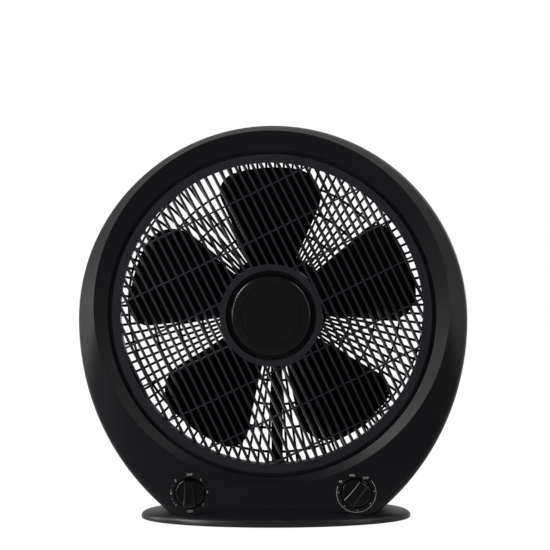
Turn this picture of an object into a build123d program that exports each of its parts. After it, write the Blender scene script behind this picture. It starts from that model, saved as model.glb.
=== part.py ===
from build123d import *
from math import asin, atan2, cos, degrees, pi, radians, sin, sqrt, tan
import os

os.makedirs("parts", exist_ok=True)

# A 300 mm table fan in a round-shouldered housing with a turning louvre wheel in front.
# Millimetres. +Z is up, the front faces -Y, and the origin is under the middle of the base.

# outline of the housing, seen from the front
outline_radius = 199.4
outline_height = 209.9
side_radius = 255.0
chin_radius = 120.0
chin_sweep = 450.0
rear_taper = 8.0
wall = 2.6
slanted_wall = 4.16
gusset_half = 1.0

# depths along Y
crest_y = -50.0
shoulder_y = -30.0
parting_y = -6.0
rear_y = 52.0
shoulder_round = 9.0
rear_round = 5.0
tab_width = 30.0
tab_thickness = 2.0
tab_reach = 8.0
tab_root = 10.0
tab_angles = (40.0, 90.0, 140.0)

# crest ring and air duct
axis_height = 219.0
crest_height = 225.5
crest_radius = 182.0
mouth_radius = 168.2
mouth_y = -44.0
mouth_lip = 3.0
duct_radius = 173.8
duct_wall = 2.4
track_end_y = -26.0

# clearances
seat_gap = 0.1
loose_gap = 0.3
running_gap = 0.06
hole_gap = 0.1
overlap = 1.0

# base
base_half_width = 139.5
base_half_depth = 72.0
base_rim = 7.2
base_rise = 12.75
base_lift = 2.6
base_top_round = 6.0
base_low_round = 1.5
base_wall = 3.0
cover_thickness = 2.0
cover_inset = 3.4
foot_radius = 8.0
foot_x = 84.0
foot_y = 26.0
foot_rebate = 1.0
cover_screw_length = 9.0

# louvre wheel
rim_outer = 163.8
rim_inner = 155.0
rim_front_y = -44.0
rim_back_y = -29.0
flange_radius = 172.3
flange_thickness = 1.4
louvre_bulge = 13.0
slat_depth = 9.0
slat_pitch = 8.08
slat_thickness = 2.2
slat_lean = 25.6
slat_tilt = 12.5
slat_shift = 3.0
bar_pitch = 43.2
bar_offset = 9.7
bar_thickness = 1.5
hub_ring_outer = 52.5
hub_ring_inner = 46.3
hub_floor_drop = 11.0
hub_floor = 3.0
cap_radius = 41.6
cap_edge_height = 11.0
cap_crown = 4.0
cap_round = 3.6
cap_flat_radius = 6.0
cap_ring_radius = 31.0
cap_ring_width = 1.2
cap_ring_depth = 0.5
cap_peg_radius = 3.0
cap_peg_circle = 30.0
cap_peg_count = 3

# louvre drive
gear_module = 2.5
gear_teeth = 136
gear_width = 6.0
tooth_rise = 0.85
tooth_drop = 1.1
tooth_tip_share = 0.13
tooth_root_share = 0.34
pinion_teeth = 12
pinion_side_play = 0.5
pinion_angle = -50.0
mesh_play = 0.35
drive_shaft_radius = 3.0
louvre_motor_radius = 19.0
louvre_motor_depth = 16.0
louvre_motor_y = -22.0
louvre_motor_offset = 11.5
louvre_motor_round = 2.0
louvre_motor_ear = 24.0
ear_radius = 4.5
ear_thickness = 1.6
ear_screw_length = 9.0

# rim clips
clip_count = 6
clip_first_angle = 30.0
clip_width = 14.0
clip_thickness = 2.6
clip_reach = 160.5
clip_boss_circle = 179.5
clip_boss_radius = 4.2
clip_screw_length = 8.0

# impeller
blade_count = 5
blade_first_angle = 18.0
blade_tip_radius = 148.0
blade_half_angle = 24.0
blade_thickness = 2.2
blade_sheet_share = 1.15
blade_station_count = 4
blade_front_y = -27.0
blade_back_y = 3.0
blade_lead_round = 30.0
blade_trail_round = 20.0
blade_hub_radius = 44.0
blade_hub_wall = 3.0
blade_hub_front_y = -29.0
blade_hub_back_y = 2.0
blade_hub_round = 8.0
blade_boss_radius = 9.0
blade_boss_back_y = -10.0
nut_radius = 10.5
nut_height = 12.0
nut_roof = 3.0
nut_round = 1.5
nut_flat_count = 6
pin_radius = 1.5
pin_length = 16.0

# fan motor
shaft_radius = 4.0
shaft_back_y = 35.0
rotor_radius = 21.8
rotor_overhang = 1.0
stator_radius = 41.0
stator_front_y = 14.0
stator_back_y = 28.0
air_gap = 0.6
winding_inner = 24.0
winding_outer = 32.8
winding_depth = 5.4
bracket_wall = 1.6
front_bracket_y = 5.0
rear_bracket_y = 36.0
bush_radius = 7.5
bush_seat_radius = 10.0
front_bush_y = 2.0
bush_length = 7.0
bolt_count = 4
bolt_circle = 36.7
bolt_radius = 1.9
bolt_head_radius = 3.6
bolt_head_height = 2.6

# rear guard
guard_front_y = 42.0
guard_depth = 4.0
guard_rim_inner = 169.0
guard_plate_radius = 54.0
guard_ring_pitch = 25.0
guard_ring_count = 4
guard_ring_width = 2.2
guard_rib_count = 100
guard_rib_width = 2.3
guard_lip_inner = 169.0
guard_screw_circle = 170.0
guard_screw_count = 4
guard_lug_radius = 5.2
guard_lug_inner = 164.0
post_radius = 5.2
channel_width = 11.4
channel_depth = 8.0
channel_wall = 1.4
lead_radius = 2.4

# screws shared by the plastic parts
screw_radius = 1.6
screw_head_radius = 3.1
screw_head_height = 2.2
shell_boss_radius = 4.8
shell_seat_y = 8.0
shell_screw_length = 26.0
shell_screw_angles = (0.0, 180.0, 220.0, 320.0)
base_boss_radius = 5.0
base_boss_x = 52.0
front_boss_y = -38.0
back_boss_y = 44.0
base_boss_top = 36.0

# controls
knob_x = 85.4
knob_height = 35.0
well_radius = 16.2
well_floor_y = -40.0
well_wall = 2.2
well_floor_wall = 3.2
knob_radius = 15.1
knob_back_y = -42.9
knob_face_y = -48.0
knob_bar_y = -58.0
knob_bar_narrow = 11.0
knob_bar_wide = 14.4
knob_bar_waist = 11.2
knob_edge_round = 1.6
knob_bar_round = 2.2
neck_radius = 4.5
neck_nut_radius = 7.4
neck_nut_height = 2.2
control_shaft_radius = 3.0
switch_side = 23.0
switch_corner = 2.0
switch_depth = 18.0
timer_radius = 14.5
timer_depth = 24.0
timer_rest_angle = 37.5

# supply parts in the foot of the housing
capacitor_size = (40.0, 26.0, 16.0)
capacitor_y = 6.0
clip_strap = 1.4
clip_foot = 9.0
clip_strap_width = 12.0
terminal_size = (32.0, 14.0, 11.0)
terminal_x = -50.0
terminal_y = 14.0
terminal_count = 4
terminal_hole = 1.8
harness_radius = 2.6
harness_y = -12.0
gland_x = 70.0
gland_height = 36.0
gland_radius = 6.5
gland_bore = 3.6
gland_flange = 9.0
gland_flange_height = 2.0

dome_edge = base_lift + base_rim
base_top = dome_edge + base_rise
side_offset = side_radius - outline_radius
chin_drop = sqrt((side_radius - chin_radius) ** 2 - side_offset**2)
chin_angle = degrees(atan2(chin_drop, side_offset))
duct_outer = duct_radius + duct_wall
shell_boss_circle = duct_outer + shell_boss_radius + loose_gap
gear_pitch_radius = gear_module * gear_teeth / 2
pinion_pitch_radius = gear_module * pinion_teeth / 2
gear_distance = gear_pitch_radius + pinion_pitch_radius + mesh_play
gear_front_y = rim_back_y - gear_width
switch_front_y = well_floor_y + well_floor_wall + seat_gap
guard_seat_y = guard_front_y + guard_depth + wall
duct_front_y = track_end_y + clip_thickness + loose_gap
cover_screw_seat = base_lift + foot_rebate
base_seat = base_lift + cover_thickness + 2 * screw_head_height
pilot = screw_radius + hole_gap
head_well = screw_head_radius + loose_gap


def plane_at(y):
    return Plane.XZ.offset(-y)


def slab(sketch, front, back):
    return extrude(plane_at(back) * sketch, back - front)


def rod(radius, front, back, x=0.0, z=0.0):
    return slab(Pos(x, z) * Circle(radius), front, back)


def tube(outer, inner, front, back, x=0.0, z=0.0):
    return rod(outer, front, back, x, z) - rod(inner, front - overlap, back + overlap, x, z)


def around_axis(radius, angle):
    return radius * cos(radians(angle)), axis_height + radius * sin(radians(angle))


def post(radius, low, high, x, y):
    return Pos(x, y, (low + high) / 2) * Cylinder(radius, high - low)


def block(x0, x1, y0, y1, z0, z1):
    return Pos((x0 + x1) / 2, (y0 + y1) / 2, (z0 + z1) / 2) * Box(x1 - x0, y1 - y0, z1 - z0)


def spun(profile, height=0.0):
    # the profile is drawn with the radius along X and the depth along Y
    return Pos(0, 0, height) * revolve(profile, Axis.Y)


def arcs(parts, y):
    edges = [CenterArc((x, z), radius, start, size) for x, z, radius, start, size in parts]
    return plane_at(y) * make_face(edges)


def outline(inset, y):
    turn = 180 - 2 * chin_angle
    return arcs(
        (
            (0, outline_height, outline_radius - inset, 0, 180),
            (side_offset, outline_height, side_radius - inset, 180, chin_angle),
            (0, outline_height - chin_drop, chin_radius - inset, 180 + chin_angle, turn),
            (-side_offset, outline_height, side_radius - inset, 360 - chin_angle, chin_angle),
        ),
        y,
    )


def crest(inset, y):
    radius = crest_radius - inset
    return arcs([(0, crest_height, radius, start, 180) for start in (0, 180)], y)


def sweep(inset, y):
    # follows the outline above the middle and runs far below it, so the chin stays nearly upright
    radius = outline_radius - inset
    over = CenterArc((0, outline_height), radius, 0, 180)
    under = EllipticalCenterArc((0, outline_height), radius, chin_sweep - inset, 180, arc_size=180)
    return plane_at(y) * make_face([over, under])


def ring_at_axis(radius, y):
    return plane_at(y) * Pos(0, axis_height) * Circle(radius)


def crest_circle(radius, y):
    return plane_at(y) * Pos(0, crest_height) * Circle(radius)


def sphere_lift(reach, rise, offset):
    # height of a shallow sphere over its edge, at an offset from its axis
    ball = (reach**2 + rise**2) / (2 * rise)
    return sqrt(ball**2 - offset**2) - ball + rise


def crown(reach, rise, edge, way):
    # outline of a shallow sphere, from its edge up to the axis
    lift = sphere_lift(reach, rise, reach / 2)
    return ThreePointArc((reach, edge), (reach / 2, edge + way * lift), (0, edge + way * rise))


def dome(inset, lift):
    # circular lens, then stretched to the long base
    depth = base_half_depth - inset
    rim = dome_edge + lift - inset
    rest = Polyline((0, rim + base_rise), (0, base_lift), (depth, base_lift), (depth, rim))
    profile = make_face([crown(depth, base_rise, rim, 1), rest])
    if inset == 0:
        top = profile.vertices().sort_by_distance((depth, rim, 0))[0]
        profile = fillet(top, base_top_round)
        low = profile.vertices().sort_by_distance((depth, base_lift, 0))[0]
        profile = fillet(low, base_low_round)
    lens = revolve(Plane.XZ * profile, Axis.Z)
    return scale(lens, by=((base_half_width - inset) / depth, 1, 1))


def near_y(shape, y):
    flat = [e for e in shape.edges() if e.bounding_box().size.Y < seat_gap]
    return [e for e in flat if abs(e.center().Y - y) < seat_gap]


def screw(length, x=0.0, z=0.0, seat=0.0, forward=True):
    # pan head outside the seat, shank pointing to the front or the back
    way = -1 if forward else 1
    head_end = seat - way * screw_head_height
    tip = seat + way * length
    head = rod(screw_head_radius, min(seat, head_end), max(seat, head_end), x, z)
    shank = rod(screw_radius, min(seat, tip), max(seat, tip), x, z)
    return head + shank


def rounded_front(inset, shoulder, peak, back, radius):
    prism = extrude(outline(inset, back), back - peak)
    front = loft([sweep(inset, shoulder), crest(inset, peak)], ruled=True)
    front += extrude(outline(inset, back), back - shoulder)
    whole = front & prism
    rims = [e for e in whole.edges() if e.bounding_box().min.Y > peak and e.bounding_box().max.Y < back]
    return fillet([e for e in rims if e.bounding_box().min.Y > peak + seat_gap], radius)


def outside_front():
    return rounded_front(0, shoulder_y, crest_y, parting_y, shoulder_round)


def inside_front():
    shoulder = shoulder_y + slanted_wall / 2
    peak = crest_y + slanted_wall
    return rounded_front(wall, shoulder, peak, parting_y + overlap, shoulder_round - wall)


def under_housing():
    # the dome of the base, and all that would hang below its rim
    reach = outline_radius + overlap
    front = crest_y - overlap
    back = rear_y + overlap
    floor = block(-reach, reach, front, back, -chin_radius, dome_edge - overlap)
    return [dome(0, seat_gap), floor]


def outside_rear():
    whole = loft([outline(0, parting_y), outline(rear_taper, rear_y)], ruled=True)
    return fillet(near_y(whole, rear_y), rear_round)


def inside_rear():
    low = outline(wall, parting_y - overlap)
    return loft([low, outline(rear_taper + wall, rear_y - wall)], ruled=True)


def on_knobs():
    return ((-knob_x, knob_height), (knob_x, knob_height))


def shell_screw_spots():
    return [around_axis(shell_boss_circle, angle) for angle in shell_screw_angles]


def clip_angles():
    return [clip_first_angle + 360 / clip_count * i for i in range(clip_count)]


def louvre_motor_ears():
    x, z = around_axis(gear_distance + louvre_motor_offset, pinion_angle)
    turn = radians(pinion_angle + 90)
    reach = louvre_motor_ear
    return [(x + way * reach * cos(turn), z + way * reach * sin(turn)) for way in (-1, 1)]


def mouth():
    # the funnel runs from the crest down to the louvre groove
    funnel = loft([ring_at_axis(mouth_radius, mouth_y), crest_circle(crest_radius, crest_y)], ruled=True)
    throat = rod(mouth_radius, mouth_y, mouth_y + mouth_lip + overlap, 0, axis_height)
    track = rod(duct_radius, mouth_y + mouth_lip, parting_y + overlap, 0, axis_height)
    return funnel + throat + track


def mouth_lining():
    outer = crest_circle(crest_radius, crest_y)
    funnel = loft([ring_at_axis(duct_outer, mouth_y + mouth_lip), outer], ruled=True)
    return funnel + rod(duct_outer, mouth_y + mouth_lip, track_end_y, 0, axis_height)


def foot_pillars(y, front, back):
    # screw pillars over the base, each tied to the skin by a gusset
    pillars = []
    for x in (-base_boss_x, base_boss_x):
        pillars.append(post(base_boss_radius, dome_edge, base_boss_top, x, y))
        pillars.append(block(x - gusset_half, x + gusset_half, front, back, dome_edge, base_boss_top))
    return pillars


def foot_pilots(y):
    return [post(pilot, 0, base_boss_top - overlap, x, y) for x in (-base_boss_x, base_boss_x)]


def front_shell():
    outside = outside_front()
    clips = [around_axis(clip_boss_circle, angle) for angle in clip_angles()]
    well_back = well_floor_y + well_floor_wall
    pads = [rod(well_radius + well_wall, crest_y, well_back, x, z) for x, z in on_knobs()]
    pads += [rod(shell_boss_radius, crest_y, parting_y, x, z) for x, z in shell_screw_spots()]
    pads += [rod(clip_boss_radius, crest_y, track_end_y, x, z) for x, z in clips]
    pads += [rod(ear_radius, crest_y, louvre_motor_y, x, z) for x, z in louvre_motor_ears()]
    pads += foot_pillars(front_boss_y, crest_y, front_boss_y)
    ribs = outside & (mouth_lining() + pads)
    shell = outside - inside_front() + ribs - mouth()
    cuts = [rod(well_radius, crest_y - overlap, well_floor_y, x, z) for x, z in on_knobs()]
    cuts += [rod(neck_radius + hole_gap, crest_y, well_back + overlap, x, z) for x, z in on_knobs()]
    tip = shell_seat_y - shell_screw_length - overlap
    cuts += [rod(pilot, tip, shell_seat_y, x, z) for x, z in shell_screw_spots()]
    tip = track_end_y - clip_screw_length - overlap
    cuts += [rod(pilot, tip, track_end_y + overlap, x, z) for x, z in clips]
    tip = louvre_motor_y - ear_screw_length - overlap
    cuts += [rod(pilot, tip, louvre_motor_y + overlap, x, z) for x, z in louvre_motor_ears()]
    cuts += foot_pilots(front_boss_y)
    x, z = around_axis(gear_distance, pinion_angle)
    swing = pinion_pitch_radius + gear_module + 2 * loose_gap
    cuts.append(rod(swing, gear_front_y - 2 * pinion_side_play, louvre_motor_y, x, z))
    return shell - cuts - under_housing()


def shell_tabs():
    # tongues of the rear shell that slip in under the front shell's skin
    back = parting_y + tab_root
    outer = outline(wall + loose_gap, back)
    inner = outline(wall + loose_gap + tab_thickness, back)
    band = extrude(outer - inner, tab_root + tab_reach)
    half = tab_width / 2
    reach = Pos(outline_radius, 0) * Rectangle(outline_radius, 2 * half)
    front = parting_y - tab_reach - overlap
    fans = [Pos(0, axis_height) * Rot(0, 0, angle) * reach for angle in tab_angles]
    return band & [slab(fan, front, back + overlap) for fan in fans]


def rear_shell():
    outside = outside_rear()
    duct = rod(duct_outer, duct_front_y, rear_y, 0, axis_height)
    collar = rod(duct_outer, duct_front_y, parting_y, 0, axis_height)
    posts = [rod(shell_boss_radius, parting_y, rear_y, x, z) for x, z in shell_screw_spots()]
    posts += foot_pillars(back_boss_y, back_boss_y, rear_y)
    shell = outside - inside_rear() + (outside & posts) + (duct & (outside + collar)) + shell_tabs()
    behind = rear_y + overlap
    seat = guard_front_y + guard_depth
    shell -= rod(duct_radius, crest_y, seat, 0, axis_height)
    shell -= rod(guard_lip_inner, guard_front_y, behind, 0, axis_height)
    shell += [rod(guard_lug_radius, seat, rear_y, x, z) for x, z in guard_screw_spots()]
    cuts = []
    cuts += [rod(head_well, shell_seat_y, behind, x, z) for x, z in shell_screw_spots()]
    cuts += [rod(pilot, parting_y - overlap, shell_seat_y + overlap, x, z) for x, z in shell_screw_spots()]
    cuts += [rod(pilot, guard_front_y, behind, x, z) for x, z in guard_screw_spots()]
    cuts += [rod(head_well, guard_seat_y, behind, x, z) for x, z in guard_screw_spots()]
    cuts += foot_pilots(back_boss_y)
    cuts.append(rod(gland_radius + hole_gap, rear_y - 4 * wall, behind, gland_x, gland_height))
    z = axis_height - duct_radius
    cuts.append(post(2 * lead_radius, z - 4 * duct_wall, z + duct_wall, 0, lead_y()))
    return shell - cuts - under_housing()


def guard_screw_spots():
    step = 360 / guard_screw_count
    return [around_axis(guard_screw_circle, step * i) for i in range(guard_screw_count)]


def lead_y():
    return guard_front_y - channel_depth / 2


def guard_window(inner, outer, index):
    # one opening between two ribs and two rings, shorter beside a screw
    pitch = 360 / guard_rib_count
    step = 360 / guard_screw_count
    off = (pitch * (index + 0.5) + step / 2) % step - step / 2
    if abs(off) < pitch:
        outer = min(outer, guard_lug_inner)
    edges = []
    corners = []
    for radius in (inner, outer):
        edge = degrees(asin(guard_rib_width / 2 / radius))
        start = pitch * index + edge
        edges.append(CenterArc((0, 0), radius, start, pitch - 2 * edge))
        ends = [radians(start), radians(start + pitch - 2 * edge)]
        corners.append([(radius * cos(a), radius * sin(a)) for a in ends])
    sides = [Line(corners[0][i], corners[1][i]) for i in (0, 1)]
    return Wire(edges + sides)


def guard_bands():
    half = guard_ring_width / 2
    rings = [guard_plate_radius + guard_ring_pitch * (i + 1) for i in range(guard_ring_count)]
    inner = [guard_plate_radius] + [r + half for r in rings]
    outer = [r - half for r in rings] + [guard_rim_inner]
    return zip(inner, outer)


def rear_guard():
    back = guard_front_y + guard_depth
    rounds = [(x, z - axis_height) for x, z in guard_screw_spots()]
    gaps = [guard_window(a, b, i) for a, b in guard_bands() for i in range(guard_rib_count)]
    gaps += [Wire([CenterArc(spot, pilot, 0, 360)]) for spot in rounds]
    gaps.append(Wire([CenterArc((0, 0), guard_plate_radius - overlap, 0, 360)]))
    rim = Wire([CenterArc((0, 0), duct_radius - loose_gap, 0, 360)])
    grille = slab(Face(rim, gaps), guard_front_y, back)
    plate = rod(guard_plate_radius, guard_front_y, back, 0, axis_height)
    plate += [rod(post_radius, rear_bracket_y, back, x, z) for x, z in bolt_spots()]
    end = back - guard_depth / 2
    holes = [rod(bolt_radius + hole_gap, rear_bracket_y, end, x, z) for x, z in bolt_spots()]
    return Pos(0, 0, axis_height) * grille + (plate - holes)


def bolt_spots():
    step = 360 / bolt_count
    return [around_axis(bolt_circle, step / 2 + step * i) for i in range(bolt_count)]


def channel_top():
    return axis_height - stator_radius - 2 * loose_gap


def cable_channel():
    low = axis_height - guard_rim_inner
    high = channel_top()
    half = channel_width / 2
    front = guard_front_y - channel_depth
    outer = block(-half, half, front, guard_front_y, low, high)
    gap = half - channel_wall
    behind = guard_front_y + overlap
    return outer - block(-gap, gap, front + channel_wall, behind, low - overlap, high - channel_wall)


def motor_leads():
    # from the top of the channel, through the duct wall, down into the foot
    low = base_top + harness_radius + 4 * lead_radius
    high = channel_top() - channel_wall - seat_gap
    return post(lead_radius, low, high, 0, lead_y())


def motor_bracket(open_y, closed_y, bush_open, bush_closed):
    low, high = min(open_y, closed_y), max(open_y, closed_y)
    seat_low, seat_high = min(bush_open, bush_closed), max(bush_open, bush_closed)
    inner_low = low + bracket_wall if closed_y < open_y else low - overlap
    inner_high = high + overlap if closed_y < open_y else high - bracket_wall
    cup = rod(stator_radius, low, high, 0, axis_height)
    cup -= rod(stator_radius - bracket_wall, inner_low, inner_high, 0, axis_height)
    cup += rod(bush_seat_radius, seat_low, seat_high, 0, axis_height)
    cup += [rod(bolt_radius + bracket_wall, low, high, x, z) for x, z in bolt_spots()]
    front = min(low, seat_low) - overlap
    back = max(high, seat_high) + overlap
    cup -= rod(bush_radius, front, back, 0, axis_height)
    return cup - [rod(bolt_radius + hole_gap, front, back, x, z) for x, z in bolt_spots()]


def motor_front_bracket():
    return motor_bracket(stator_front_y, front_bracket_y, front_bush_y + bush_length, front_bush_y)


def motor_rear_bracket():
    return motor_bracket(stator_back_y, rear_bracket_y, rear_bracket_y - bush_length + 1, rear_bracket_y)


def bush(front, back):
    return tube(bush_radius, shaft_radius + running_gap, front, back, 0, axis_height)


def stator_core():
    core = tube(stator_radius, rotor_radius + air_gap, stator_front_y, stator_back_y, 0, axis_height)
    return core - [rod(bolt_radius + hole_gap, 0, rear_y, x, z) for x, z in bolt_spots()]


def stator_windings():
    front = tube(winding_outer, winding_inner, stator_front_y - winding_depth, stator_front_y, 0, axis_height)
    back = tube(winding_outer, winding_inner, stator_back_y, stator_back_y + winding_depth, 0, axis_height)
    rounded = []
    for coil in (front, back):
        rims = [e for e in coil.edges() if e.geom_type == GeomType.CIRCLE]
        rounded.append(fillet(rims, winding_depth / 4))
    return Compound(rounded)


def motor_bolts():
    bolts = []
    for x, z in bolt_spots():
        head = rod(bolt_head_radius, front_bracket_y - bolt_head_height, front_bracket_y, x, z)
        bolts.append(head + rod(bolt_radius, front_bracket_y, guard_front_y + overlap, x, z))
    return Compound(bolts)


def rotor_core():
    front = stator_front_y - rotor_overhang
    back = stator_back_y + rotor_overhang
    return tube(rotor_radius, shaft_radius, front, back, 0, axis_height)


def shaft_front_y():
    return blade_hub_front_y - nut_height + nut_roof + loose_gap


def pin_y():
    return blade_boss_back_y - pin_radius - loose_gap


def motor_shaft():
    shaft = rod(shaft_radius, shaft_front_y(), shaft_back_y, 0, axis_height)
    hole = Pos(0, pin_y(), axis_height) * Rot(0, 90, 0) * Cylinder(pin_radius, 4 * shaft_radius)
    return shaft - hole


def drive_pin():
    return Pos(0, pin_y(), axis_height) * Rot(0, 90, 0) * Cylinder(pin_radius, pin_length)


def blade_stations():
    low = blade_hub_radius - 2 * overlap
    high = blade_tip_radius + 2 * overlap
    step = (high - low) / (blade_station_count - 1)
    return [low + step * i for i in range(blade_station_count)]


def blade():
    # twisted sheet, cut to a fan-shaped outline
    span = blade_back_y - blade_front_y - blade_thickness
    middle = (blade_front_y + blade_back_y) / 2
    sections = []
    for radius in blade_stations():
        reach = radius * sin(radians(blade_half_angle))
        pitch = degrees(atan2(span / 2, reach))
        chord = 2 * blade_sheet_share * reach / cos(radians(pitch))
        plane = Plane.XY.offset(radius) * Pos(0, middle) * Rot(0, 0, pitch)
        sections.append(plane * Rectangle(chord, blade_thickness))
    sheet = loft(sections)
    root = blade_hub_radius - blade_hub_wall / 2
    left = radians(90 + blade_half_angle)
    right = radians(90 - blade_half_angle)
    spots = ((root, left), (root, right), (blade_tip_radius, right), (blade_tip_radius, left))
    corners = [(r * cos(a), r * sin(a)) for r, a in spots]
    edges = [Line(corners[3], corners[0]), Line(corners[0], corners[1]), Line(corners[1], corners[2])]
    edges.append(CenterArc((0, 0), blade_tip_radius, 90 - blade_half_angle, 2 * blade_half_angle))
    plan = make_face(edges)
    plan = fillet(plan.vertices().sort_by_distance(corners[2])[0], blade_lead_round)
    plan = fillet(plan.vertices().sort_by_distance(corners[3])[0], blade_trail_round)
    return sheet & slab(plan, blade_front_y, blade_back_y)


def fan_blade():
    inner = blade_hub_radius - blade_hub_wall
    cup = rod(blade_hub_radius, blade_hub_front_y, blade_hub_back_y)
    cup = fillet(near_y(cup, blade_hub_front_y), blade_hub_round)
    cup -= rod(inner, blade_hub_front_y + blade_hub_wall, blade_hub_back_y + overlap)
    cup += rod(blade_boss_radius, blade_hub_front_y + blade_hub_wall / 2, blade_boss_back_y)
    wing = blade()
    step = 360 / blade_count
    wings = [Rot(0, 90 - blade_first_angle - step * i, 0) * wing for i in range(blade_count)]
    fan = cup + wings
    fan -= rod(shaft_radius + seat_gap / 2, blade_hub_front_y - overlap, blade_boss_back_y + overlap)
    slot = pin_radius + seat_gap
    fan -= block(-inner, inner, pin_y() - slot, blade_boss_back_y + overlap, -slot, slot)
    return Pos(0, 0, axis_height) * fan


def blade_nut():
    front = blade_hub_front_y - nut_height
    hexagon = RegularPolygon(nut_radius, nut_flat_count)
    nut = slab(Pos(0, axis_height) * hexagon, front, blade_hub_front_y - seat_gap)
    nut = fillet(near_y(nut, front), nut_round)
    return nut - rod(shaft_radius, front + nut_roof, blade_hub_front_y, 0, axis_height)


def strip(across, along, width):
    # chord of the wheel, at a distance from its middle, ending inside the rim
    reach = (rim_inner + rim_outer) / 2
    length = 2 * sqrt(reach**2 - (across**2 + along**2))
    return Pos(across, along) * (Rectangle(width, length) if along == 0 else Rectangle(length, width))


def slats():
    # each slat leans back to the left, so that the turning wheel sweeps the air round
    count = int(2 * rim_inner / slat_pitch)
    places = [slat_shift + i * slat_pitch for i in range(-count, count + 1)]
    strips = [strip(p, 0, slat_thickness) for p in places if abs(p) < rim_inner - slat_thickness]
    slope = tan(radians(slat_tilt))
    back = rim_back_y + overlap
    front = bulge(hub_ring_outer) - overlap
    middle = (rim_front_y + bulge(hub_ring_outer)) / 2
    plan = Rot(0, 0, slat_lean) * Pos(-slope * (back - middle), 0) * (Sketch() + strips)
    lean = radians(slat_lean)
    way = Vector(slope * cos(lean), -1, slope * sin(lean))
    return extrude(plane_at(back) * plan, (back - front) * way.length, dir=way)


def louvre_plan():
    count = int((rim_inner + bar_offset) / bar_pitch)
    places = [-bar_offset - bar_pitch * i for i in range(-count, count + 1)]
    bars = [strip(0, p, bar_thickness) for p in places if abs(p) < rim_inner - slat_pitch]
    rings = [Circle(flange_radius) - Circle(rim_inner), Circle(hub_ring_outer)]
    return Rot(0, 0, slat_lean) * (Sketch() + bars + rings)


def bulge(radius):
    # depth of the slats' front edges, a shallow crown between the rim and the hub ring
    part = (rim_inner**2 - radius**2) / (rim_inner**2 - hub_ring_outer**2)
    return rim_front_y - louvre_bulge * part


def louvre_wheel():
    hub_y = bulge(hub_ring_outer)
    half = (rim_inner + hub_ring_outer) / 2
    floor_y = hub_y + hub_floor_drop
    hub_back = floor_y + hub_floor
    front = ThreePointArc((rim_inner, rim_front_y), (half, bulge(half)), (hub_ring_outer, hub_y))
    inner_back = (hub_ring_outer, hub_y + slat_depth)
    back = ThreePointArc(inner_back, (half, bulge(half) + slat_depth), (rim_inner, rim_front_y + slat_depth))
    rest = Polyline(
        (hub_ring_outer, hub_y),
        (hub_ring_inner, hub_y),
        (hub_ring_inner, floor_y),
        (0, floor_y),
        (0, hub_back),
        (hub_ring_outer, hub_back),
        inner_back,
    )
    flange_back = gear_front_y - pinion_side_play - loose_gap
    rim = Polyline(
        (rim_inner, rim_front_y + slat_depth),
        (rim_inner, rim_back_y),
        (rim_outer, rim_back_y),
        (rim_outer, flange_back),
        (flange_radius, flange_back),
        (flange_radius, flange_back - flange_thickness),
        (rim_outer, flange_back - flange_thickness),
        (rim_outer, rim_front_y),
        (rim_inner, rim_front_y),
    )
    envelope = spun(make_face([front, rest, back, rim]))
    wheel = envelope & (slab(louvre_plan(), hub_y - overlap, rim_back_y + overlap) + slats())
    hole = cap_peg_radius + hole_gap
    holes = [rod(hole, floor_y - overlap, hub_back + overlap, x, z) for x, z in peg_spots()]
    return Pos(0, 0, axis_height) * (wheel - holes)


def peg_spots():
    turns = [radians(90 + 360 / cap_peg_count * i) for i in range(cap_peg_count)]
    return [(cap_peg_circle * cos(t), cap_peg_circle * sin(t)) for t in turns]


def hub_cap():
    floor_y = bulge(hub_ring_outer) + hub_floor_drop
    edge_y = floor_y - cap_edge_height
    top_y = edge_y - sphere_lift(cap_radius, cap_crown, cap_flat_radius)
    middle = (cap_radius + cap_flat_radius) / 2
    middle_y = edge_y - sphere_lift(cap_radius, cap_crown, middle)
    bow = ThreePointArc((cap_radius, edge_y), (middle, middle_y), (cap_flat_radius, top_y))
    foot = ((0, top_y), (0, floor_y), (cap_radius, floor_y), (cap_radius, edge_y))
    profile = make_face([bow, Polyline((cap_flat_radius, top_y), *foot)])
    rim = profile.vertices().sort_by_distance((cap_radius, edge_y, 0))[0]
    cap = spun(fillet(rim, cap_round))
    ring = tube(cap_ring_radius, cap_ring_radius - cap_ring_width, top_y - overlap, edge_y)
    crown_y = edge_y - sphere_lift(cap_radius, cap_crown, cap_ring_radius)
    cap -= ring & rod(cap_radius, top_y - overlap, crown_y + cap_ring_depth)
    hub_back = floor_y + hub_floor
    cap += [rod(cap_peg_radius, floor_y - overlap, hub_back, x, z) for x, z in peg_spots()]
    return Pos(0, 0, axis_height) * cap


def toothed(pitch_radius, teeth, turn):
    # straight-flanked teeth, as wide as their gaps on the pitch circle
    step = 2 * pi / teeth
    tip = pitch_radius + tooth_rise * gear_module
    root = pitch_radius - tooth_drop * gear_module
    tooth = [(root, -tooth_root_share), (tip, -tooth_tip_share), (tip, tooth_tip_share)]
    tooth.append((root, tooth_root_share))
    points = []
    for i in range(teeth):
        middle = turn + i * step
        for radius, share in tooth:
            angle = middle + share * step
            points.append((radius * cos(angle), radius * sin(angle)))
    return make_face(Polyline(*points, close=True))


def louvre_ring_gear():
    face = toothed(gear_pitch_radius, gear_teeth, radians(pinion_angle)) - Circle(rim_outer)
    return slab(Pos(0, axis_height) * face, gear_front_y, rim_back_y)


def drive_pinion():
    x, z = around_axis(gear_distance, pinion_angle)
    step = pi / pinion_teeth
    face = toothed(pinion_pitch_radius, pinion_teeth, radians(pinion_angle) + pi + step)
    front = gear_front_y - pinion_side_play
    pinion = slab(Pos(x, z) * face, front, rim_back_y + pinion_side_play)
    shaft = rod(drive_shaft_radius, rim_back_y, louvre_motor_y + louvre_motor_depth / 2, x, z)
    return pinion + shaft


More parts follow.
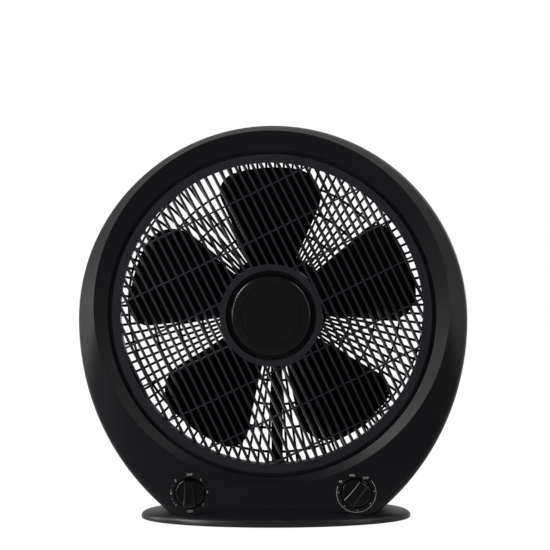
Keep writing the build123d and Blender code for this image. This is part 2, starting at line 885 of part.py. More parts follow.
def louvre_motor():
    x, z = around_axis(gear_distance + louvre_motor_offset, pinion_angle)
    back = louvre_motor_y + louvre_motor_depth
    can = rod(louvre_motor_radius, louvre_motor_y, back, x, z)
    can = fillet(near_y(can, back), louvre_motor_round)
    plate = SlotOverall(2 * louvre_motor_ear + 2 * ear_radius, 2 * ear_radius)
    plate = Pos(x, z) * Rot(0, 0, pinion_angle + 90) * plate
    can += slab(plate, louvre_motor_y, louvre_motor_y + ear_thickness)
    x, z = around_axis(gear_distance, pinion_angle)
    end = louvre_motor_y + louvre_motor_depth / 2 + overlap
    can -= rod(drive_shaft_radius + running_gap, louvre_motor_y - overlap, end, x, z)
    front = louvre_motor_y - overlap
    return can - [rod(pilot, front, back + overlap, x, z) for x, z in louvre_motor_ears()]


def louvre_motor_screws():
    seat = louvre_motor_y + ear_thickness
    return Compound([screw(ear_screw_length + ear_thickness, x, z, seat) for x, z in louvre_motor_ears()])


def rim_clip():
    # foot on the end of the track, nose reaching in behind the wheel's rim
    back = track_end_y + clip_thickness
    half = clip_width / 2
    foot_end = clip_boss_circle + clip_boss_radius
    foot = block(clip_reach, foot_end, track_end_y, back, -half, half)
    nose = block(clip_reach, duct_radius - loose_gap, rim_back_y + loose_gap, track_end_y, -half, half)
    return foot + nose - rod(pilot, rim_back_y, back + overlap, clip_boss_circle)


def rim_clips():
    clip = rim_clip()
    return Compound([Pos(0, 0, axis_height) * Rot(0, -angle, 0) * clip for angle in clip_angles()])


def rim_clip_screws():
    seat = track_end_y + clip_thickness
    spots = [around_axis(clip_boss_circle, angle) for angle in clip_angles()]
    return Compound([screw(clip_screw_length, x, z, seat) for x, z in spots])


def shell_screws():
    return Compound([screw(shell_screw_length, x, z, shell_seat_y) for x, z in shell_screw_spots()])


def guard_screws():
    length = guard_seat_y - guard_front_y
    return Compound([screw(length, x, z, guard_seat_y) for x, z in guard_screw_spots()])


def knob(bar_turn):
    disc = rod(knob_radius, knob_face_y, knob_back_y)
    disc = fillet(near_y(disc, knob_face_y), knob_edge_round)
    reach = knob_radius - knob_edge_round / 2
    narrow, waist, wide = knob_bar_narrow / 2, knob_bar_waist / 2, knob_bar_wide / 2
    left = ThreePointArc((-wide, -reach), (-waist, 0), (-narrow, reach))
    right = ThreePointArc((narrow, reach), (waist, 0), (wide, -reach))
    ends = [Line((-narrow, reach), (narrow, reach)), Line((wide, -reach), (-wide, -reach))]
    wedge = make_face([left, right] + ends) & Circle(reach)
    bar = slab(wedge, knob_bar_y, knob_back_y)
    bar = fillet(near_y(bar, knob_bar_y), knob_bar_round)
    bore = rod(control_shaft_radius, knob_face_y - 2 * overlap, knob_back_y + overlap)
    return Rot(0, bar_turn, 0) * (disc + bar - bore)


def speed_knob():
    return Pos(-knob_x, 0, knob_height) * knob(0)


def timer_knob():
    return Pos(knob_x, 0, knob_height) * knob(timer_rest_angle)


def control_shaft(x, depth):
    front = knob_face_y - 2 * overlap
    return rod(control_shaft_radius, front, switch_front_y + depth / 2, x, knob_height)


def with_neck(body, x, depth):
    front = well_floor_y - neck_nut_height
    neck = rod(neck_radius, front, switch_front_y + overlap, x, knob_height)
    end = switch_front_y + depth / 2 + overlap
    return body + neck - rod(control_shaft_radius + running_gap, front - overlap, end, x, knob_height)


def speed_switch():
    face = Pos(-knob_x, knob_height) * RectangleRounded(switch_side, switch_side, switch_corner)
    return with_neck(slab(face, switch_front_y, switch_front_y + switch_depth), -knob_x, switch_depth)


def timer_unit():
    body = rod(timer_radius, switch_front_y, switch_front_y + timer_depth, knob_x, knob_height)
    return with_neck(body, knob_x, timer_depth)


def neck_nut(x):
    face = Pos(x, knob_height) * (RegularPolygon(neck_nut_radius, nut_flat_count) - Circle(neck_radius))
    return slab(face, well_floor_y - neck_nut_height, well_floor_y)


def run_capacitor():
    length, depth, height = capacitor_size
    low = base_top + seat_gap
    return block(-length / 2, length / 2, capacitor_y - depth / 2, capacitor_y + depth / 2, low, low + height)


def capacitor_clip():
    length, depth, height = capacitor_size
    low = base_top + seat_gap
    half = length / 2 + seat_gap
    reach = half + clip_foot
    top = low + height + seat_gap
    front = capacitor_y - clip_strap_width / 2
    back = capacitor_y + clip_strap_width / 2
    strap = block(-half - clip_strap, half + clip_strap, front, back, low, top + clip_strap)
    feet = block(-reach, reach, front, back, low, low + clip_strap)
    return strap + feet - block(-half, half, front - overlap, back + overlap, low - overlap, top)


def dome_height(x, y):
    offset = sqrt((x * base_half_depth / base_half_width) ** 2 + y**2)
    return dome_edge + sphere_lift(base_half_depth, base_rise, offset)


def terminal_block():
    length, depth, height = terminal_size
    low = dome_height(terminal_x + length / 2, terminal_y - depth / 2) + seat_gap
    x0 = terminal_x - length / 2
    front = terminal_y - depth / 2
    body = block(x0, x0 + length, front, front + depth, low, low + height)
    pitch = length / terminal_count
    spots = [x0 + pitch * (i + 0.5) for i in range(terminal_count)]
    top = low + height
    return body - [post(terminal_hole, low + height / 2, top + overlap, x, terminal_y) for x in spots]


def control_harness():
    low = base_top + harness_radius + loose_gap
    x0 = -knob_x + switch_side / 2 + loose_gap
    x1 = knob_x - timer_radius + loose_gap
    y = harness_y - seat_gap
    return Pos((x0 + x1) / 2, y, low) * Rot(0, 90, 0) * Cylinder(harness_radius, x1 - x0)


def cord_grommet():
    inner_y = rear_y - 2 * wall
    collar = rod(gland_radius, inner_y, rear_y + seat_gap, gland_x, gland_height)
    flange = rod(gland_flange, rear_y, rear_y + gland_flange_height, gland_x, gland_height)
    flange = fillet(near_y(flange, rear_y + gland_flange_height), gland_flange_height / 2)
    behind = rear_y + 2 * gland_flange_height
    return collar + flange - rod(gland_bore, inner_y - overlap, behind, gland_x, gland_height)


def base_shell():
    outer = dome(0, 0)
    low = base_lift + cover_thickness + seat_gap
    spots = base_screw_spots()
    pillars = [post(base_boss_radius, low, base_top, x, y) for x, y in spots]
    pillars += [post(screw_head_radius + wall, low, base_top, x, y) for x, y in foot_spots()]
    shell = outer - dome(base_wall, 0) + [outer & p for p in pillars]
    shell -= [post(pilot, 0, base_top + overlap, x, y) for x, y in spots]
    shell -= [post(head_well, 0, base_seat, x, y) for x, y in spots]
    top = cover_screw_seat + cover_screw_length + overlap / 2
    shell -= [post(pilot, 0, top, x, y) for x, y in foot_spots()]
    cover_space = scale(Circle(base_half_depth - base_wall), by=(base_stretch(), 1, 1))
    return shell - extrude(Pos(0, 0, -overlap) * cover_space, low + overlap)


def base_stretch():
    return (base_half_width - base_wall) / (base_half_depth - base_wall)


def base_screw_spots():
    return [(x, y) for x in (-base_boss_x, base_boss_x) for y in (front_boss_y, back_boss_y)]


def foot_spots():
    return [(x, y) for x in (-foot_x, foot_x) for y in (-foot_y, foot_y)]


def base_cover():
    plate = scale(Circle(base_half_depth - base_wall - loose_gap), by=(base_stretch(), 1, 1))
    cover = extrude(Pos(0, 0, base_lift) * plate, cover_thickness)
    cover -= [post(foot_radius + seat_gap, 0, base_lift + foot_rebate, x, y) for x, y in foot_spots()]
    cover -= [post(pilot, 0, base_top, x, y) for x, y in foot_spots()]
    return cover - [post(head_well, 0, base_top, x, y) for x, y in base_screw_spots()]


def rubber_feet():
    feet = []
    for x, y in foot_spots():
        foot = post(foot_radius, 0, base_lift + foot_rebate, x, y)
        foot -= post(head_well, -overlap, base_lift + foot_rebate + overlap, x, y)
        feet.append(foot)
    return Compound(feet)


def upright_screw(x, y, seat, tip):
    head = post(screw_head_radius, seat - screw_head_height, seat, x, y)
    return head + post(screw_radius, seat, tip, x, y)


def base_screws():
    tip = base_boss_top - 2 * overlap
    return Compound([upright_screw(x, y, base_seat, tip) for x, y in base_screw_spots()])


def cover_screws():
    tip = cover_screw_seat + cover_screw_length
    return Compound([upright_screw(x, y, cover_screw_seat, tip) for x, y in foot_spots()])


nodes = {
    "front_shell": front_shell,
    "rear_shell": rear_shell,
    "shell_screws": shell_screws,
    "rear_guard": rear_guard,
    "guard_screws": guard_screws,
    "cable_channel": cable_channel,
    "motor_leads": motor_leads,
    "motor_front_bracket": motor_front_bracket,
    "motor_rear_bracket": motor_rear_bracket,
    "front_bush": lambda: bush(front_bush_y, front_bush_y + bush_length),
    "rear_bush": lambda: bush(rear_bracket_y - bush_length + 1, rear_bracket_y),
    "stator_core": stator_core,
    "stator_windings": stator_windings,
    "motor_bolts": motor_bolts,
    "rotor_core": rotor_core,
    "motor_shaft": motor_shaft,
    "drive_pin": drive_pin,
    "fan_blade": fan_blade,
    "blade_nut": blade_nut,
    "louvre_wheel": louvre_wheel,
    "hub_cap": hub_cap,
    "louvre_ring_gear": louvre_ring_gear,
    "drive_pinion": drive_pinion,
    "louvre_motor": louvre_motor,
    "louvre_motor_screws": louvre_motor_screws,
    "rim_clips": rim_clips,
    "rim_clip_screws": rim_clip_screws,
    "speed_knob": speed_knob,
    "speed_shaft": lambda: control_shaft(-knob_x, switch_depth),
    "speed_switch": speed_switch,
    "switch_nut": lambda: neck_nut(-knob_x),
    "timer_knob": timer_knob,
    "timer_shaft": lambda: control_shaft(knob_x, timer_depth),
    "timer_unit": timer_unit,
    "timer_nut": lambda: neck_nut(knob_x),
    "run_capacitor": run_capacitor,
    "capacitor_clip": capacitor_clip,
    "terminal_block": terminal_block,
    "control_harness": control_harness,
    "cord_grommet": cord_grommet,
    "base_shell": base_shell,
    "base_cover": base_cover,
    "rubber_feet": rubber_feet,
    "base_screws": base_screws,
    "cover_screws": cover_screws,
}

for name, make in nodes.items():
    shape = make()
    export_step(shape, f"parts/{name}.step")
    print(name, round(shape.volume))
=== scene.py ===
import math

import bpy
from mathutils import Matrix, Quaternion, Vector


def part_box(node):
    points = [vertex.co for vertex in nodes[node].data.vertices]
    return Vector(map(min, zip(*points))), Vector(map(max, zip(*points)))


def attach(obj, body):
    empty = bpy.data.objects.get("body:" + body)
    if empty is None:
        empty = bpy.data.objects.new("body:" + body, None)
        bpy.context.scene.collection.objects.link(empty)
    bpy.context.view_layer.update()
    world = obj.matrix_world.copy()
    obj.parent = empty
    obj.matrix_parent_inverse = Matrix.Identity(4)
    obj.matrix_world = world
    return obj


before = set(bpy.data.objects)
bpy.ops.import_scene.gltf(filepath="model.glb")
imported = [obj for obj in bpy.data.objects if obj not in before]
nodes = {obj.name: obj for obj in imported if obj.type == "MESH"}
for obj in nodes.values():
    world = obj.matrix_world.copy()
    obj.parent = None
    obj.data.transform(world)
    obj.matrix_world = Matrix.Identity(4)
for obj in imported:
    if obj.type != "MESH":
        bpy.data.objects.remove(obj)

bpy.ops.object.select_all(action="DESELECT")
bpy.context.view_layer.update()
mm = 0.001


def srgb(hexColour):
    # hex colour as a maker writes it, turned to the linear values that shaders use
    parts = [int(hexColour[i:i + 2], 16) / 255 for i in (1, 3, 5)]
    linear = [c / 12.92 if c <= 0.04045 else ((c + 0.055) / 1.055) ** 2.4 for c in parts]
    return (*linear, 1.0)


def addNode(tree, kind, settings, links=None):
    # settings name either an input or a property of the node
    node = tree.nodes.new(kind)
    for name, value in settings.items():
        if isinstance(name, int) or name in node.inputs:
            node.inputs[name].default_value = value
        else:
            setattr(node, name, value)
    for name, socket in (links or {}).items():
        tree.links.new(socket, node.inputs[name])
    return node


def mixColours(tree, first, second, share):
    # goes from the first hex colour to the second as the share rises from 0 to 1
    colours = {"data_type": "RGBA", 6: srgb(first), 7: srgb(second)}
    return addNode(tree, "ShaderNodeMix", colours, {0: share})


def newMaterial(name):
    material = bpy.data.materials.new(name)
    material.use_nodes = True
    material.node_tree.nodes.clear()
    return material, material.node_tree


def mouldedPlastic(name, look):
    # injection-moulded plastic: spark-eroded grain, faint flow marks, a little dust in the sheen
    material, tree = newMaterial(name)
    place = addNode(tree, "ShaderNodeTexCoord", {})
    grain = addNode(tree, "ShaderNodeTexNoise", {"Scale": 1 / (look["grainSize"] * mm), "Detail": 2.0},
                    {"Vector": place.outputs["Object"]})
    flow = addNode(tree, "ShaderNodeTexNoise", {"Scale": 1 / (look["flowSize"] * mm), "Detail": 3.0},
                   {"Vector": place.outputs["Object"]})
    tone = mixColours(tree, look["colour"], look["paler"], flow.outputs["Fac"])
    sheen = addNode(tree, "ShaderNodeMapRange",
                    {"From Min": 0.3, "From Max": 0.7, "To Min": look["roughness"] - look["spread"],
                     "To Max": look["roughness"] + look["spread"]}, {"Value": flow.outputs["Fac"]})
    bump = addNode(tree, "ShaderNodeBump", {"Strength": look["bump"], "Distance": look["grainDepth"] * mm},
                   {"Height": grain.outputs["Fac"]})
    shader = addNode(tree, "ShaderNodeBsdfPrincipled",
                     {"IOR": look["ior"], "Specular IOR Level": look["specular"]},
                     {"Base Color": tone.outputs[2], "Roughness": sheen.outputs["Result"],
                      "Normal": bump.outputs["Normal"]})
    addNode(tree, "ShaderNodeOutputMaterial", {}, {"Surface": shader.outputs[0]})
    return material


def metal(name, look):
    # the grain is stretched along one axis where the metal was drawn, rolled or wound
    material, tree = newMaterial(name)
    place = addNode(tree, "ShaderNodeTexCoord", {})
    turned = addNode(tree, "ShaderNodeMapping", {"Scale": look["stretch"]},
                     {"Vector": place.outputs["Object"]})
    grain = addNode(tree, "ShaderNodeTexNoise", {"Scale": 1 / (look["grainSize"] * mm), "Detail": 4.0},
                    {"Vector": turned.outputs["Vector"]})
    tone = mixColours(tree, look["colour"], look["paler"], grain.outputs["Fac"])
    sheen = addNode(tree, "ShaderNodeMapRange",
                    {"To Min": look["roughness"] - look["spread"],
                     "To Max": look["roughness"] + look["spread"]}, {"Value": grain.outputs["Fac"]})
    bump = addNode(tree, "ShaderNodeBump", {"Strength": look["bump"], "Distance": look["grainDepth"] * mm},
                   {"Height": grain.outputs["Fac"]})
    shader = addNode(tree, "ShaderNodeBsdfPrincipled", {"Metallic": 1.0},
                     {"Base Color": tone.outputs[2], "Roughness": sheen.outputs["Result"],
                      "Normal": bump.outputs["Normal"]})
    addNode(tree, "ShaderNodeOutputMaterial", {}, {"Surface": shader.outputs[0]})
    return material


# black ABS of the housing: satin, broad soft highlights
mouldedAbs = mouldedPlastic("mouldedAbs", {
    "colour": "#151519", "paler": "#18181D", "roughness": 0.4, "spread": 0.03, "ior": 1.53, "specular": 0.25,
    "grainSize": 0.9, "grainDepth": 0.02, "bump": 0.2, "flowSize": 70})
# the base is the same ABS with a slightly brighter polish; its colour is paler than the housing's as painted
# light, so that the base shows brighter
baseAbsPaintedLight = mouldedPlastic("baseAbsPaintedLight", {
    "colour": "#202024", "paler": "#242428", "roughness": 0.34, "spread": 0.03, "ior": 1.53, "specular": 0.45,
    "grainSize": 0.9, "grainDepth": 0.02, "bump": 0.2, "flowSize": 60})
# polished ABS of the cap: narrow bright lines along its edges
polishedAbs = mouldedPlastic("polishedAbs", {
    "colour": "#0C0C0D", "paler": "#0F0F10", "roughness": 0.22, "spread": 0.02, "ior": 1.53, "specular": 0.5,
    "grainSize": 0.8, "grainDepth": 0.01, "bump": 0.1, "flowSize": 50})
# knobs: ABS, worn to a shine where fingers hold the bar
knobAbs = mouldedPlastic("knobAbs", {
    "colour": "#060607", "paler": "#08080A", "roughness": 0.2, "spread": 0.04, "ior": 1.53, "specular": 0.5,
    "grainSize": 0.7, "grainDepth": 0.01, "bump": 0.12, "flowSize": 18})
# polypropylene of the slats and ribs: waxy, softer sheen than the housing
louvrePp = mouldedPlastic("louvrePp", {
    "colour": "#26262C", "paler": "#2B2B32", "roughness": 0.34, "spread": 0.04, "ior": 1.49, "specular": 0.3,
    "grainSize": 1.2, "grainDepth": 0.02, "bump": 0.2, "flowSize": 40})
guardPp = mouldedPlastic("guardPp", {
    "colour": "#0E0E10", "paler": "#121214", "roughness": 0.42, "spread": 0.04, "ior": 1.49, "specular": 0.3,
    "grainSize": 1.2, "grainDepth": 0.02, "bump": 0.25, "flowSize": 40})
# blades: styrene, faintly blue-black with a smooth gloss
bladeSan = mouldedPlastic("bladeSan", {
    "colour": "#080A0E", "paler": "#0B0D12", "roughness": 0.3, "spread": 0.03, "ior": 1.57, "specular": 0.25,
    "grainSize": 1.0, "grainDepth": 0.01, "bump": 0.1, "flowSize": 60})
# black acetal of the ring gear and its pinion: waxy, nearly lost in the groove
acetal = mouldedPlastic("acetal", {
    "colour": "#0D0D0E", "paler": "#111113", "roughness": 0.45, "spread": 0.04, "ior": 1.48, "specular": 0.25,
    "grainSize": 1.0, "grainDepth": 0.01, "bump": 0.1, "flowSize": 25})
phenolic = mouldedPlastic("phenolic", {
    "colour": "#1C1A19", "paler": "#242120", "roughness": 0.45, "spread": 0.05, "ior": 1.6, "specular": 0.45,
    "grainSize": 0.8, "grainDepth": 0.02, "bump": 0.2, "flowSize": 15})
nylonWhite = mouldedPlastic("nylonWhite", {
    "colour": "#D8D6CE", "paler": "#E2E0D9", "roughness": 0.4, "spread": 0.04, "ior": 1.53, "specular": 0.5,
    "grainSize": 0.8, "grainDepth": 0.01, "bump": 0.1, "flowSize": 15})
# rubber: no gloss, a chalky bloom
mouldedRubber = mouldedPlastic("mouldedRubber", {
    "colour": "#101010", "paler": "#1B1B1A", "roughness": 0.8, "spread": 0.06, "ior": 1.52, "specular": 0.3,
    "grainSize": 0.6, "grainDepth": 0.03, "bump": 0.4, "flowSize": 8})
glassSleeve = mouldedPlastic("glassSleeve", {
    "colour": "#1A1A1A", "paler": "#2A2A2A", "roughness": 0.6, "spread": 0.08, "ior": 1.5, "specular": 0.4,
    "grainSize": 0.6, "grainDepth": 0.05, "bump": 0.6, "flowSize": 4})

zincPlate = metal("zincPlate", {
    "colour": "#9A9C9E", "paler": "#B9BBBD", "roughness": 0.32, "spread": 0.08, "stretch": (1, 1, 1),
    "grainSize": 1.5, "grainDepth": 0.01, "bump": 0.15})
groundSteel = metal("groundSteel", {
    "colour": "#8E9093", "paler": "#ABADAF", "roughness": 0.22, "spread": 0.06, "stretch": (1, 12, 1),
    "grainSize": 2.0, "grainDepth": 0.01, "bump": 0.15})
castAlloy = metal("castAlloy", {
    "colour": "#8B8C8C", "paler": "#A3A4A4", "roughness": 0.5, "spread": 0.08, "stretch": (1, 1, 1),
    "grainSize": 0.9, "grainDepth": 0.04, "bump": 0.4})
laminations = metal("laminations", {
    "colour": "#3C3F44", "paler": "#5A5D62", "roughness": 0.45, "spread": 0.08, "stretch": (0.05, 1, 0.05),
    "grainSize": 0.5, "grainDepth": 0.08, "bump": 0.8})
enamelCopper = metal("enamelCopper", {
    "colour": "#8A4322", "paler": "#B4632F", "roughness": 0.3, "spread": 0.08, "stretch": (0.1, 1, 0.1),
    "grainSize": 0.6, "grainDepth": 0.1, "bump": 0.9})
bronze = metal("bronze", {
    "colour": "#85673A", "paler": "#9E7F4C", "roughness": 0.5, "spread": 0.06, "stretch": (1, 1, 1),
    "grainSize": 0.4, "grainDepth": 0.02, "bump": 0.4})

finishes = {
    mouldedAbs: ["front_shell", "rear_shell"],
    baseAbsPaintedLight: ["base_shell", "base_cover"],
    polishedAbs: ["hub_cap"],
    knobAbs: ["speed_knob", "timer_knob"],
    louvrePp: ["louvre_wheel"],
    guardPp: ["rear_guard", "cable_channel", "rim_clips"],
    bladeSan: ["fan_blade", "blade_nut"],
    acetal: ["louvre_ring_gear", "drive_pinion"],
    phenolic: ["speed_switch", "timer_unit", "run_capacitor"],
    nylonWhite: ["terminal_block"],
    mouldedRubber: ["rubber_feet", "cord_grommet"],
    glassSleeve: ["motor_leads", "control_harness"],
    zincPlate: ["shell_screws", "guard_screws", "louvre_motor_screws", "rim_clip_screws", "base_screws",
                "cover_screws", "motor_bolts", "switch_nut", "timer_nut", "louvre_motor", "capacitor_clip"],
    groundSteel: ["motor_shaft", "drive_pin", "speed_shaft", "timer_shaft"],
    castAlloy: ["motor_front_bracket", "motor_rear_bracket"],
    laminations: ["stator_core", "rotor_core"],
    enamelCopper: ["stator_windings"],
    bronze: ["front_bush", "rear_bush"],
}
for material, names in finishes.items():
    for name in names:
        for materialSlot in nodes[name].material_slots:
            materialSlot.material = material
print("materials on", sum(len(names) for names in finishes.values()), "nodes")

# white printing ink of the dial marks, a little grey where it is thin
inkLook = {"colour": "#B9B9B7", "paler": "#CFCFCC", "grainSize": 0.5, "roughness": 0.55}
printInk, inkTree = newMaterial("printInk")
inkPlace = addNode(inkTree, "ShaderNodeTexCoord", {})
inkGrain = addNode(inkTree, "ShaderNodeTexNoise", {"Scale": 1 / (inkLook["grainSize"] * mm)},
                   {"Vector": inkPlace.outputs["Object"]})
inkTone = mixColours(inkTree, inkLook["colour"], inkLook["paler"], inkGrain.outputs["Fac"])
inkShader = addNode(inkTree, "ShaderNodeBsdfPrincipled", {"Roughness": inkLook["roughness"]},
                    {"Base Color": inkTone.outputs[2]})
addNode(inkTree, "ShaderNodeOutputMaterial", {}, {"Surface": inkShader.outputs[0]})


def onDial(centre, radius, angle):
    # angle in degrees, clockwise from the top
    turn = math.radians(angle)
    return Vector((centre.x + radius * math.sin(turn), centre.y, centre.z + radius * math.cos(turn)))


def printedWord(text, height, place):
    bpy.ops.object.text_add(location=place, rotation=(math.pi / 2, 0, 0))
    word = bpy.context.object
    word.data.body = text
    word.data.size = height / dialPrint["capitalShare"]
    word.data.offset = dialPrint["bolder"] * word.data.size
    word.data.align_x = "CENTER"
    word.data.align_y = "CENTER"
    bpy.ops.object.convert(target="MESH")
    bpy.ops.object.transform_apply(location=True, rotation=True, scale=True)
    return bpy.context.object


def printedArc(centre, radius, width, start, sweep, steps=120):
    # a thin ring, less the stretch that isn't printed
    bpy.ops.mesh.primitive_circle_add(vertices=steps, radius=radius, fill_type="NOTHING", location=centre,
                                      rotation=(math.pi / 2, 0, 0))
    arc = bpy.context.object
    bpy.ops.object.transform_apply(location=True, rotation=True, scale=True)
    bpy.ops.object.mode_set(mode="EDIT")
    bpy.ops.mesh.select_mode(type="VERT")
    bpy.ops.mesh.select_all(action="DESELECT")
    bpy.ops.object.mode_set(mode="OBJECT")
    for vertex in arc.data.vertices:
        offset = vertex.co - centre
        vertex.select = (math.degrees(math.atan2(offset.x, offset.z)) - start) % 360 > sweep
    bpy.ops.object.mode_set(mode="EDIT")
    bpy.ops.mesh.delete(type="VERT")
    bpy.ops.mesh.select_all(action="SELECT")
    bpy.ops.mesh.extrude_edges_move()
    grow = 1 + width / radius
    bpy.ops.transform.resize(value=(grow, 1, grow), center_override=centre)
    bpy.ops.object.mode_set(mode="OBJECT")
    return arc


def printedDot(place, radius):
    bpy.ops.mesh.primitive_circle_add(vertices=dialPrint["dotCorners"], radius=radius, fill_type="NGON",
                                      location=place, rotation=(math.pi / 2, 0, 0))
    bpy.ops.object.transform_apply(location=True, rotation=True, scale=True)
    return bpy.context.object


def layOnShell(name, parts, thickness):
    # joined, dropped straight back on to the housing, then given the thickness of a print
    bpy.ops.object.select_all(action="DESELECT")
    for part in parts:
        part.select_set(True)
    bpy.context.view_layer.objects.active = parts[0]
    bpy.ops.object.join()
    marks = bpy.context.object
    marks.name = name
    drop = marks.modifiers.new("drop", "SHRINKWRAP")
    drop.target = nodes["front_shell"]
    drop.wrap_method = "PROJECT"
    drop.use_project_y = True
    drop.project_limit = dialPrint["reach"]
    drop.offset = thickness
    wall = marks.modifiers.new("wall", "SOLIDIFY")
    wall.thickness = thickness
    wall.offset = 0
    for modifier in ("drop", "wall"):
        bpy.ops.object.modifier_apply(modifier=modifier)
    marks.data.materials.clear()
    marks.data.materials.append(printInk)
    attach(marks, "housing")
    bpy.ops.object.select_all(action="DESELECT")
    return marks


# capitals are 0.7 of the type size, and the letters are drawn a little bolder than the type
dialPrint = {"ahead": 8 * mm, "reach": 32 * mm, "thickness": 0.08 * mm, "wordHeight": 2.4 * mm,
             "numberHeight": 2.7 * mm, "capitalShare": 0.7, "bolder": 0.015, "line": 0.5 * mm,
             "signRing": 19.3 * mm, "signSweep": 7, "arcRing": 19.9 * mm, "arcStart": 50, "arcSweep": 244,
             "dotRing": 18.3 * mm, "dot": 0.6 * mm, "dotCorners": 16}


def dialCentre(name):
    low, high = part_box(name)
    return Vector(((low[0] + high[0]) / 2, low[1] - dialPrint["ahead"], (low[2] + high[2]) / 2))


speedCentre = dialCentre("speed_knob")
speedParts = []
for word, angle, radius in (("OFF", 0, 19.2), ("OFF", 180, 19.2)):
    speedParts.append(printedWord(word, dialPrint["wordHeight"], onDial(speedCentre, radius * mm, angle)))
for word, angle, radius in (("1", 40, 18.0), ("2", 86, 18.0), ("3", 132, 18.0),
                            ("1", 228, 19.4), ("2", 269, 19.4), ("3", 311, 19.4)):
    speedParts.append(printedWord(word, dialPrint["numberHeight"], onDial(speedCentre, radius * mm, angle)))
for angle in (235, 247, 278, 290):
    speedParts.append(printedArc(speedCentre, dialPrint["signRing"], dialPrint["line"], angle,
                                 dialPrint["signSweep"]))
layOnShell("speedDialMarks", speedParts, dialPrint["thickness"])

timerCentre = dialCentre("timer_knob")
timerParts = []
for word, angle, radius in (("ON", -12, 18.7), ("OFF", 32.5, 18.3), ("60", 307, 19.9)):
    timerParts.append(printedWord(word, dialPrint["wordHeight"], onDial(timerCentre, radius * mm, angle)))
timerParts.append(printedArc(timerCentre, dialPrint["arcRing"], dialPrint["line"], dialPrint["arcStart"],
                             dialPrint["arcSweep"]))
for angle in (84.5, 128, 177, 222, 272):
    timerParts.append(printedDot(onDial(timerCentre, dialPrint["dotRing"], angle), dialPrint["dot"]))
layOnShell("timerDialMarks", timerParts, dialPrint["thickness"])
print("dial marks laid on the housing")


# the paper's colour and glow as seen in reflections, and where they fade, are a painted reflection
studio = {"floorSize": 80.0, "floorColour": "#E6E6E6", "floorReflectedShade": "#606060", "floorGlow": 0.94,
          "paperGlow": 1.06, "paperFront": -0.22, "paperBack": 0.3, "frontGlow": 0.05, "backdropGlow": 0.45,
          "backdropEdges": (-0.1, 0.5), "topEdges": (0.55, 0.95), "fill": 0.1}

bpy.ops.mesh.primitive_plane_add(size=studio["floorSize"])
floor = bpy.context.object
floor.name = "studioFloor"
floorPaper, paperTree = newMaterial("floorPaper")
paperRay = addNode(paperTree, "ShaderNodeLightPath", {})
paperSeen = addNode(paperTree, "ShaderNodeMath", {"operation": "MAXIMUM"},
                    {0: paperRay.outputs["Is Camera Ray"], 1: paperRay.outputs["Is Transmission Ray"]})
paperFull = addNode(paperTree, "ShaderNodeMath", {"operation": "MULTIPLY", 1: studio["floorGlow"]},
                    {0: paperSeen.outputs[0]})
# painted reflection: seen in a reflection, the paper glows white behind the fan and fades to dark in front of
# it, and its matt part turns a darker grey
paperPlace = addNode(paperTree, "ShaderNodeTexCoord", {})
paperParts = addNode(paperTree, "ShaderNodeSeparateXYZ", {}, {0: paperPlace.outputs["Object"]})
paperReflectionFade = addNode(paperTree, "ShaderNodeMapRange",
                    {"From Min": studio["paperFront"], "From Max": studio["paperBack"],
                     "To Min": studio["frontGlow"], "To Max": 1.0}, {"Value": paperParts.outputs["Y"]})
paperPaintedReflection = addNode(paperTree, "ShaderNodeMath", {"operation": "MULTIPLY"},
                      {0: paperRay.outputs["Is Glossy Ray"], 1: paperReflectionFade.outputs["Result"]})
paperShare = addNode(paperTree, "ShaderNodeMath", {"operation": "MAXIMUM"},
                     {0: paperFull.outputs[0], 1: paperPaintedReflection.outputs[0]})
# painted shade in reflections: the paper's colour turns from pale grey to dark grey only where it is seen in
# a reflection
paperTone = mixColours(paperTree, studio["floorColour"], studio["floorReflectedShade"],
                       paperRay.outputs["Is Glossy Ray"])
paperMatt = addNode(paperTree, "ShaderNodeBsdfDiffuse", {}, {"Color": paperTone.outputs[2]})
paperGlow = addNode(paperTree, "ShaderNodeEmission", {"Strength": studio["paperGlow"]})
paperMix = addNode(paperTree, "ShaderNodeMixShader", {},
                   {0: paperShare.outputs[0], 1: paperMatt.outputs[0], 2: paperGlow.outputs[0]})
addNode(paperTree, "ShaderNodeOutputMaterial", {}, {"Surface": paperMix.outputs[0]})
floor.data.materials.append(floorPaper)

world = bpy.data.worlds.new("studioWorld")
bpy.context.scene.world = world
world.use_nodes = True
skyTree = world.node_tree
skyTree.nodes.clear()
skyRay = addNode(skyTree, "ShaderNodeLightPath", {})
skyWay = addNode(skyTree, "ShaderNodeTexCoord", {})
skyParts = addNode(skyTree, "ShaderNodeSeparateXYZ", {}, {0: skyWay.outputs["Generated"]})
# a white backdrop stands behind the fan, and the rest of the room is dim
skyBack = addNode(skyTree, "ShaderNodeMapRange",
                  {"From Min": studio["backdropEdges"][0], "From Max": studio["backdropEdges"][1],
                   "To Min": studio["fill"], "To Max": studio["backdropGlow"]},
                  {"Value": skyParts.outputs["Y"]})
skyTop = addNode(skyTree, "ShaderNodeMapRange",
                 {"From Min": studio["topEdges"][0], "From Max": studio["topEdges"][1], "To Min": 1.0,
                  "To Max": studio["fill"]}, {"Value": skyParts.outputs["Z"]})
skyLevel = addNode(skyTree, "ShaderNodeMath", {"operation": "MULTIPLY"},
                   {0: skyBack.outputs["Result"], 1: skyTop.outputs["Result"]})
skySeen = addNode(skyTree, "ShaderNodeMath", {"operation": "MAXIMUM"},
                  {0: skyRay.outputs["Is Camera Ray"], 1: skyRay.outputs["Is Transmission Ray"]})
skyDim = addNode(skyTree, "ShaderNodeBackground", {"Color": (1, 1, 1, 1)}, {"Strength": skyLevel.outputs[0]})
skyWhite = addNode(skyTree, "ShaderNodeBackground", {"Color": (1, 1, 1, 1), "Strength": 1.0})
skyMix = addNode(skyTree, "ShaderNodeMixShader", {},
                 {0: skySeen.outputs[0], 1: skyDim.outputs[0], 2: skyWhite.outputs[0]})
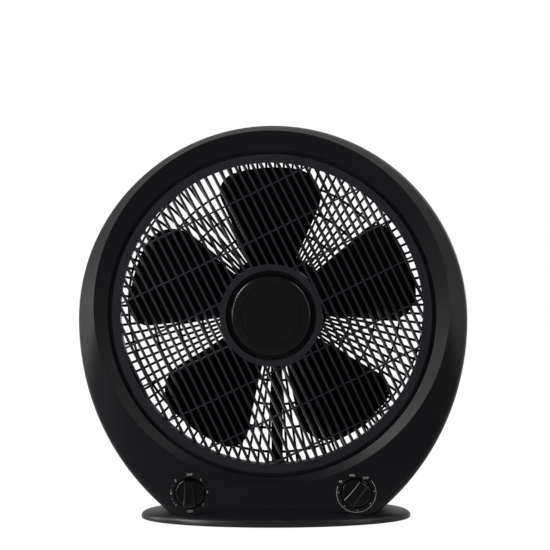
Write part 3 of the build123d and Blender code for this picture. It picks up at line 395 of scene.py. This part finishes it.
addNode(skyTree, "ShaderNodeOutputWorld", {}, {"Surface": skyMix.outputs[0]})

lampAim = Vector((0, -0.02, 0.22))
lampDistance = 1.6
lamps = {
    "leftStrip": {"way": (-0.95, 0.02, 0.12), "wide": 0.35, "tall": 1.3, "power": 9},
    "keySoftbox": {"way": (-0.72, -0.42, 0.50), "wide": 0.5, "tall": 0.5, "power": 10.5},
    "leftPanel": {"way": (-0.72, -0.69, 0.02), "wide": 0.14, "tall": 0.9, "power": 5},
    "rightPanel": {"way": (0.76, -0.65, 0.05), "wide": 0.14, "tall": 0.9, "power": 2},
    "rightStrip": {"way": (0.95, 0.0, 0.25), "wide": 0.3, "tall": 1.2, "power": 1.5},
    "rightSoftbox": {"way": (0.66, -0.47, 0.57), "wide": 0.6, "tall": 0.6, "power": 3},
}
for name, lamp in lamps.items():
    way = Vector(lamp["way"]).normalized()
    bpy.ops.object.light_add(type="AREA", location=lampAim + way * lampDistance)
    light = bpy.context.object
    light.name = name
    light.data.shape = "RECTANGLE"
    light.data.size = lamp["wide"]
    light.data.size_y = lamp["tall"]
    light.data.energy = lamp["power"]
    light.rotation_euler = way.to_track_quat("Z", "Y").to_euler()

shot = {"aim": (0.0038, -0.044, 0.2592), "distance": 4.5, "yaw": 3.18, "rise": 5.63, "roll": -0.5,
        "lens": 288.65, "sensor": 36, "farthest": 200}
yaw = math.radians(shot["yaw"])
rise = math.radians(shot["rise"])
back = Vector((math.sin(yaw) * math.cos(rise), -math.cos(yaw) * math.cos(rise), math.sin(rise)))
bpy.ops.object.camera_add(location=Vector(shot["aim"]) + back * shot["distance"])
camera = bpy.context.object
camera.data.lens = shot["lens"]
camera.data.sensor_width = shot["sensor"]
camera.data.clip_end = shot["farthest"]
camera.rotation_mode = "QUATERNION"
camera.rotation_quaternion = back.to_track_quat("Z", "Y") @ Quaternion((0, 0, 1), math.radians(shot["roll"]))
bpy.context.scene.camera = camera
bpy.context.scene.view_settings.view_transform = "Standard"
print("studio ready")

bpy.context.view_layer.update()
